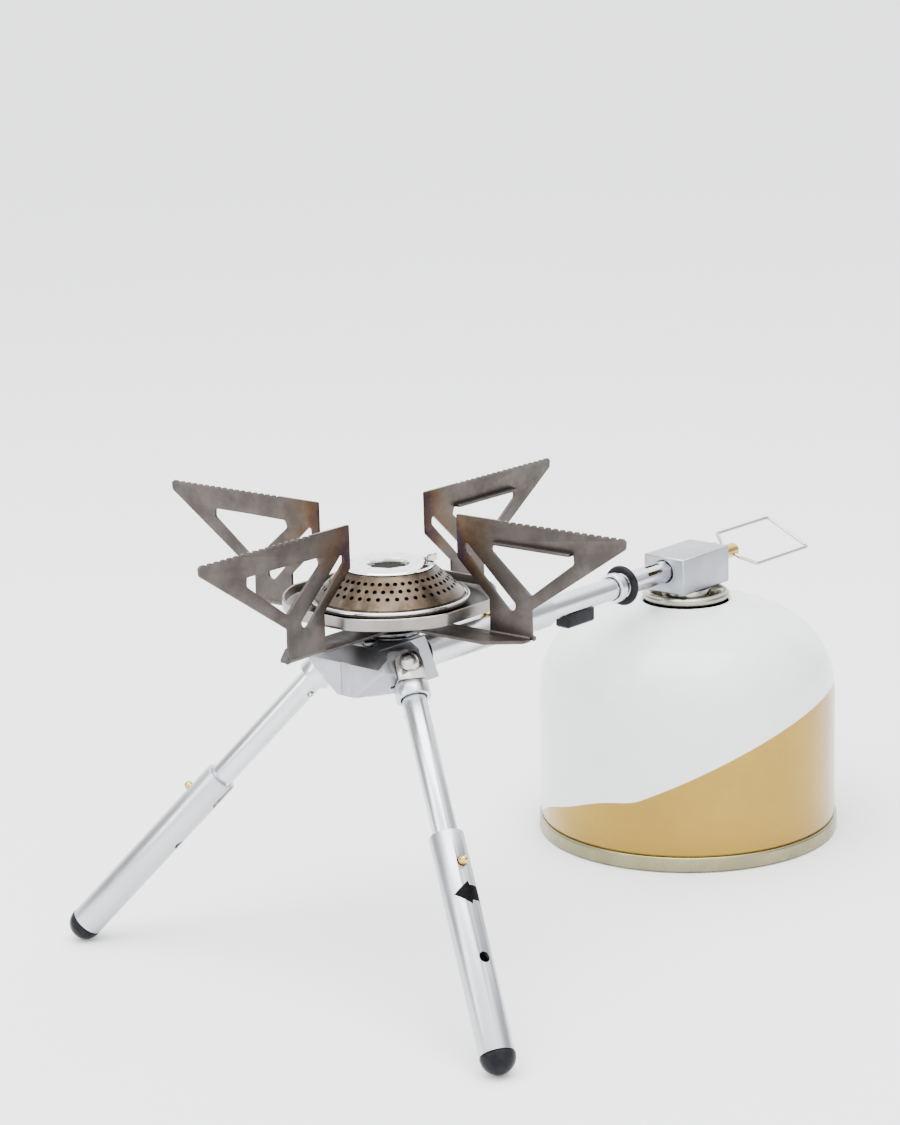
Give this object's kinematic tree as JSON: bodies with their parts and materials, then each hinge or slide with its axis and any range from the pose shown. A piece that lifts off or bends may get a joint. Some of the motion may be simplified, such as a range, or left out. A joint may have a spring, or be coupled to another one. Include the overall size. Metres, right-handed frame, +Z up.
{
  "type": "camping stove",
  "caption": "Compact gas camping stove on telescopic folding legs, with crossed serrated pot supports, a level arm, a valve with a wire handle and a screw-on fuel canister.",
  "frame": {"origin": "on the ground, under the middle of the object's box", "axes": "+X along the arm from the burner to the canister, +Z up, +Y to the left as seen from the burner"},
  "size_m": [0.3141, 0.1934, 0.15],
  "materials": {
    "satin_aluminium": "satin, finely blasted, with lathe lines on the tubes",
    "bright_steel": "bright stainless steel",
    "heated_steel": "stamped stainless sheet, warm grey, tinted by heat",
    "dark_steel": "blackened steel",
    "burner_steel": "perforated stainless sheet, browned by the flame",
    "brass_parts": "turned brass",
    "black_rubber": "matt moulded rubber",
    "canister_paint": "gloss white enamel over a gold lower part",
    "canister_steel": "tin-plated steel"
  },
  "bodies": {
    "stove": {"hub_block": "satin_aluminium", "burner_column": "bright_steel", "column_washer": "dark_steel", "bar_spring": "dark_steel", "hub_screw": "dark_steel", "drip_dish": "heated_steel", "burner_bowl": "dark_steel", "burner_rim": "bright_steel", "flame_cone": "burner_steel", "burner_cap": "bright_steel", "spark_hood": "bright_steel", "arm_sleeve": "satin_aluminium", "sleeve_plug": "brass_parts", "arm_tube": "satin_aluminium", "stop_ring": "black_rubber", "rest_pad": "black_rubber", "jet_nozzle": "brass_parts", "valve_block": "satin_aluminium", "gland_nut": "brass_parts", "canister_adaptor": "dark_steel", "adaptor_seal": "black_rubber", "valve_pin": "brass_parts"},
    "support_lower": {"support_lower": "heated_steel"},
    "support_upper": {"support_upper": "heated_steel"},
    "right_leg": {"right_leg_clevis": "bright_steel", "right_leg_pivot_rivet": "bright_steel", "right_leg_collar": "satin_aluminium", "right_leg_upper_tube": "satin_aluminium", "right_leg_tube_pin": "bright_steel", "right_leg_button_spring": "dark_steel"},
    "right_foot_tube": {"right_leg_lower_tube": "satin_aluminium", "right_leg_foot": "black_rubber"},
    "right_button": {"right_leg_lock_button": "brass_parts"},
    "left_leg": {"left_leg_clevis": "bright_steel", "left_leg_pivot_rivet": "bright_steel", "left_leg_collar": "satin_aluminium", "left_leg_upper_tube": "satin_aluminium", "left_leg_tube_pin": "bright_steel", "left_leg_button_spring": "dark_steel"},
    "left_foot_tube": {"left_leg_lower_tube": "satin_aluminium", "left_leg_foot": "black_rubber"},
    "left_button": {"left_leg_lock_button": "brass_parts"},
    "spindle": {"valve_spindle": "brass_parts"},
    "handle": {"wire_handle": "bright_steel"},
    "canister": {"canister_shell": "canister_paint", "canister_base": "canister_steel", "canister_cup": "canister_steel", "canister_stub": "canister_steel"}
  },
  "joints": [
    {"name": "right_leg_fold", "type": "hinge", "parent": "stove", "child": "right_leg", "pos_m": [-0.07691, -0.01545, 0.1017], "axis": [-0.3919, -0.6175, 0.682], "range_deg": [0, 90]},
    {"name": "right_leg_extend", "type": "slide", "parent": "right_leg", "child": "right_foot_tube", "axis": [0.3654, 0.5758, 0.7314], "range_m": [0, 0.0317], "deforming": ["right_leg_lock_button"]},
    {"name": "right_button_press", "type": "slide", "parent": "right_leg", "child": "right_button", "axis": [0.1037, 0.7556, -0.6468], "range_m": [0, 0.0034], "stiffness_N_per_m": 300, "deforming": ["right_leg_button_spring"]},
    {"name": "left_leg_fold", "type": "hinge", "parent": "stove", "child": "left_leg", "pos_m": [-0.07691, 0.01545, 0.1017], "axis": [0.3919, -0.6175, -0.682], "range_deg": [0, 90]},
    {"name": "left_leg_extend", "type": "slide", "parent": "left_leg", "child": "left_foot_tube", "axis": [0.3654, -0.5758, 0.7314], "range_m": [0, 0.0317], "deforming": ["left_leg_lock_button"]},
    {"name": "left_button_press", "type": "slide", "parent": "left_leg", "child": "left_button", "axis": [0.1037, -0.7556, -0.6468], "range_m": [0, 0.0034], "stiffness_N_per_m": 300, "deforming": ["left_leg_button_spring"]},
    {"name": "support_lower_swing", "type": "hinge", "parent": "stove", "child": "support_lower", "pos_m": [-0.0671, 0, 0.1117], "axis": [0, 0, 1], "range_deg": [0, 35]},
    {"name": "support_upper_swing", "type": "hinge", "parent": "stove", "child": "support_upper", "pos_m": [-0.0671, 0, 0.113], "axis": [0, 0, -1], "range_deg": [0, 35]},
    {"name": "valve_turn", "type": "hinge", "parent": "stove", "child": "spindle", "pos_m": [0.1029, 0, 0.0986], "axis": [1, 0, 0], "range_deg": [0, 300]},
    {"name": "handle_fold", "type": "hinge", "parent": "spindle", "child": "handle", "pos_m": [0.1195, 0, 0.0986], "axis": [0, -0.9003, -0.4352], "range_deg": [-15, 100]},
    {"name": "canister_turn", "type": "hinge", "parent": "stove", "child": "canister", "pos_m": [0.0917, 0, 0.082], "axis": [0, 0, -1], "range_deg": [0, 900]}
  ]
}
